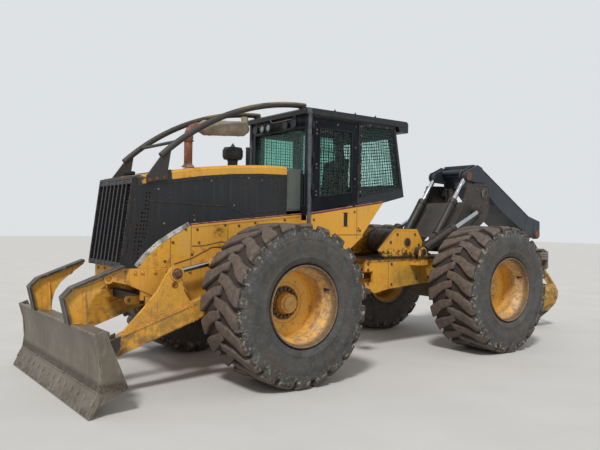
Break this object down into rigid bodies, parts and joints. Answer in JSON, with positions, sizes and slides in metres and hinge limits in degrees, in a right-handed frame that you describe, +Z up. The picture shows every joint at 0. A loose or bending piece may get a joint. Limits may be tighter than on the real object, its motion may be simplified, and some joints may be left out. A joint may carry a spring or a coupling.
{
  "type": "grapple skidder",
  "caption": "Articulated four-wheel grapple skidder with a front blade, screened cab, rear arch, boom, log grapple and winch.",
  "frame": {"origin": "middle of the footprint's length and width, at ground level", "axes": "+X towards the blade, +Y to the machine's left, +Z up"},
  "size_m": [8.428, 3.11, 3.1918],
  "materials": {
    "yellow_paint": "worn gloss paint",
    "black_paint": "satin paint",
    "dark_steel": "dusty satin paint",
    "worn_steel": "scraped bare steel",
    "cast_grey": "dusty casting",
    "tyre": "muddy tread",
    "rim_paint": "worn, rust-stained paint",
    "rod_chrome": "polished",
    "glass": "clear",
    "seat_cover": "woven",
    "trim_plastic": "moulded",
    "exhaust_steel": "rusty",
    "grapple_paint": "scraped and rusty paint"
  },
  "bodies": {
    "front": {"front_frame": "yellow_paint", "engine_block": "dark_steel", "radiator": "dark_steel", "grille": "black_paint", "hood_sides": "black_paint", "hood_top": "yellow_paint", "lower_body": "yellow_paint", "cab_shell": "black_paint", "cab_roof": "black_paint", "cab_glass": "glass", "window_guards": "black_paint", "seat": "seat_cover", "controls": "trim_plastic", "brush_guard": "black_paint", "exhaust": "exhaust_steel", "air_cleaner": "trim_plastic", "front_axle": "cast_grey"},
    "door_left": {"door_left": "black_paint"},
    "door_right": {"door_right": "black_paint"},
    "blade": {"blade_arms": "yellow_paint", "blade": "worn_steel", "blade_horns": "yellow_paint"},
    "lift_barrels": {"lift_barrels": "yellow_paint"},
    "lift_rods": {"lift_rods": "rod_chrome"},
    "steer_barrel_left": {"steer_barrel_left": "dark_steel"},
    "steer_rod_left": {"steer_rod_left": "rod_chrome"},
    "steer_barrel_right": {"steer_barrel_right": "dark_steel"},
    "steer_rod_right": {"steer_rod_right": "rod_chrome"},
    "rear": {"rear_frame": "yellow_paint", "rear_axle": "cast_grey", "winch_tower": "yellow_paint"},
    "winch_drum": {"winch_drum": "worn_steel"},
    "arch": {"arch": "dark_steel", "fairlead_rollers": "worn_steel"},
    "boom": {"boom": "dark_steel"},
    "arch_barrels": {"arch_barrels": "dark_steel"},
    "arch_rods": {"arch_rods": "rod_chrome"},
    "boom_barrels": {"boom_barrels": "dark_steel"},
    "boom_rods": {"boom_rods": "rod_chrome"},
    "grapple_cross": {"grapple_cross": "cast_grey"},
    "grapple_swivel": {"grapple_swivel": "cast_grey"},
    "grapple_head": {"grapple_head": "cast_grey"},
    "tong_left": {"tong_left": "grapple_paint"},
    "tong_right": {"tong_right": "grapple_paint"},
    "tong_barrel": {"tong_barrel": "dark_steel"},
    "tong_rod": {"tong_rod": "rod_chrome"},
    "wheel_front_left": {"tyre_front_left": "tyre", "rim_front_left": "rim_paint"},
    "wheel_front_right": {"tyre_front_right": "tyre", "rim_front_right": "rim_paint"},
    "wheel_rear_left": {"tyre_rear_left": "tyre", "rim_rear_left": "rim_paint"},
    "wheel_rear_right": {"tyre_rear_right": "tyre", "rim_rear_right": "rim_paint"}
  },
  "joints": [
    {"name": "wheel_front_left_spin", "type": "hinge", "parent": "front", "child": "wheel_front_left", "pos_m": [2.016, 1.1675, 0.865], "axis": [0, 1, 0], "continuous": true},
    {"name": "wheel_front_right_spin", "type": "hinge", "parent": "front", "child": "wheel_front_right", "pos_m": [2.016, -1.1675, 0.865], "axis": [0, 1, 0], "continuous": true},
    {"name": "wheel_rear_left_spin", "type": "hinge", "parent": "rear", "child": "wheel_rear_left", "pos_m": [-1.484, 1.1675, 0.865], "axis": [0, 1, 0], "continuous": true},
    {"name": "wheel_rear_right_spin", "type": "hinge", "parent": "rear", "child": "wheel_rear_right", "pos_m": [-1.484, -1.1675, 0.865], "axis": [0, 1, 0], "continuous": true},
    {"name": "articulation", "type": "hinge", "parent": "front", "child": "rear", "pos_m": [0.266, 0, 1.045], "axis": [0, 0, 1], "range_deg": [-45, 45]},
    {"name": "blade_lift", "type": "hinge", "parent": "front", "child": "blade", "pos_m": [2.316, 0, 0.98], "axis": [0, -1, 0], "range_deg": [-10, 28]},
    {"name": "lift_barrel_turn", "type": "hinge", "parent": "front", "child": "lift_barrels", "pos_m": [2.016, 0, 1.39], "axis": [0, -1, 0], "range_deg": [-6.85, 19.07]},
    {"name": "lift_rod_slide", "type": "slide", "parent": "lift_barrels", "child": "lift_rods", "axis": [0.9823, 0, -0.1873], "range_m": [-0.1887, 0.068]},
    {"name": "steer_barrel_left_turn", "type": "hinge", "parent": "front", "child": "steer_barrel_left", "pos_m": [0.986, 0.33, 1.015], "axis": [0, 0, 1], "range_deg": [-10.09, 10.09]},
    {"name": "steer_rod_left_slide", "type": "slide", "parent": "steer_barrel_left", "child": "steer_rod_left", "axis": [-0.9911, -0.1328, 0], "range_m": [-0.1774, 0.1774]},
    {"name": "steer_barrel_right_turn", "type": "hinge", "parent": "front", "child": "steer_barrel_right", "pos_m": [0.986, -0.33, 1.015], "axis": [0, 0, 1], "range_deg": [-10.09, 10.09]},
    {"name": "steer_rod_right_slide", "type": "slide", "parent": "steer_barrel_right", "child": "steer_rod_right", "axis": [-0.9911, 0.1328, 0], "range_m": [-0.1774, 0.1774]},
    {"name": "door_left_swing", "type": "hinge", "parent": "front", "child": "door_left", "pos_m": [1.261, 0.644, 2.4], "axis": [0, 0, -1], "range_deg": [0, 85]},
    {"name": "door_right_swing", "type": "hinge", "parent": "front", "child": "door_right", "pos_m": [1.261, -0.644, 2.4], "axis": [0, 0, 1], "range_deg": [0, 85]},
    {"name": "winch_spin", "type": "hinge", "parent": "rear", "child": "winch_drum", "pos_m": [-0.614, 0, 1.48], "axis": [0, 1, 0], "continuous": true},
    {"name": "arch_tilt", "type": "hinge", "parent": "rear", "child": "arch", "pos_m": [-1.584, 0, 1.4], "axis": [0, 1, 0], "range_deg": [-30, 25]},
    {"name": "arch_barrel_turn", "type": "hinge", "parent": "rear", "child": "arch_barrels", "pos_m": [-0.749, 0, 1.345], "axis": [0, 1, 0], "range_deg": [-13.99, 11.67]},
    {"name": "arch_rod_slide", "type": "slide", "parent": "arch_barrels", "child": "arch_rods", "axis": [-0.9048, 0, 0.4259], "range_m": [-0.126, 0.151]},
    {"name": "boom_lift", "type": "hinge", "parent": "arch", "child": "boom", "pos_m": [-2.334, 0, 2.23], "axis": [0, 1, 0], "range_deg": [-10, 25]},
    {"name": "boom_barrel_turn", "type": "hinge", "parent": "arch", "child": "boom_barrels", "pos_m": [-1.304, 0, 1.51], "axis": [0, 1, 0], "range_deg": [-0.466, 0.221]},
    {"name": "boom_rod_slide", "type": "slide", "parent": "boom_barrels", "child": "boom_rods", "axis": [-0.5874, 0, 0.8093], "range_m": [-0.1782, 0.0719]},
    {"name": "grapple_swing", "type": "hinge", "parent": "boom", "child": "grapple_cross", "pos_m": [-3.974, 0, 1.59], "axis": [0, 1, 0], "range_deg": [-30, 30]},
    {"name": "grapple_tilt", "type": "hinge", "parent": "grapple_cross", "child": "grapple_swivel", "pos_m": [-3.974, 0, 1.495], "axis": [1, 0, 0], "range_deg": [-12, 12]},
    {"name": "grapple_turn", "type": "hinge", "parent": "grapple_swivel", "child": "grapple_head", "pos_m": [-3.974, 0, 1.37], "axis": [0, 0, 1], "continuous": true},
    {"name": "tong_left_open", "type": "hinge", "parent": "grapple_head", "child": "tong_left", "pos_m": [-3.974, 0.24, 1.03], "axis": [1, 0, 0], "range_deg": [-14, 45]},
    {"name": "tong_right_open", "type": "hinge", "parent": "grapple_head", "child": "tong_right", "pos_m": [-3.974, -0.24, 1.03], "axis": [-1, 0, 0], "range_deg": [-14.1, 45.1]},
    {"name": "tong_barrel_turn", "type": "hinge", "parent": "tong_left", "child": "tong_barrel", "pos_m": [-3.974, 0.26672, 1.12636], "axis": [1, 0, 0], "range_deg": [-45.1, 14.1]},
    {"name": "tong_rod_slide", "type": "slide", "parent": "tong_barrel", "child": "tong_rod", "axis": [0, -1, 0], "range_m": [-0.1529, 0.0483]}
  ],
  "couplings": [
    {"joint": "lift_barrel_turn", "follows": "blade_lift", "ratio": 0.67889},
    {"joint": "lift_rod_slide", "follows": "blade_lift", "m_per_rad": -0.38408},
    {"joint": "steer_barrel_left_turn", "follows": "articulation", "ratio": 0.22288},
    {"joint": "steer_rod_left_slide", "follows": "articulation", "m_per_rad": 0.22466},
    {"joint": "steer_barrel_right_turn", "follows": "articulation", "ratio": 0.22288},
    {"joint": "steer_rod_right_slide", "follows": "articulation", "m_per_rad": -0.22466},
    {"joint": "arch_barrel_turn", "follows": "arch_tilt", "ratio": 0.46443},
    {"joint": "arch_rod_slide", "follows": "arch_tilt", "m_per_rad": -0.2864},
    {"joint": "boom_barrel_turn", "follows": "boom_lift", "ratio": -0.016328},
    {"joint": "boom_rod_slide", "follows": "boom_lift", "m_per_rad": -0.40605},
    {"joint": "tong_right_open", "follows": "tong_left_open", "ratio": 1},
    {"joint": "tong_barrel_turn", "follows": "tong_left_open", "ratio": -1},
    {"joint": "tong_rod_slide", "follows": "tong_left_open", "m_per_rad": -0.19345}
  ]
}
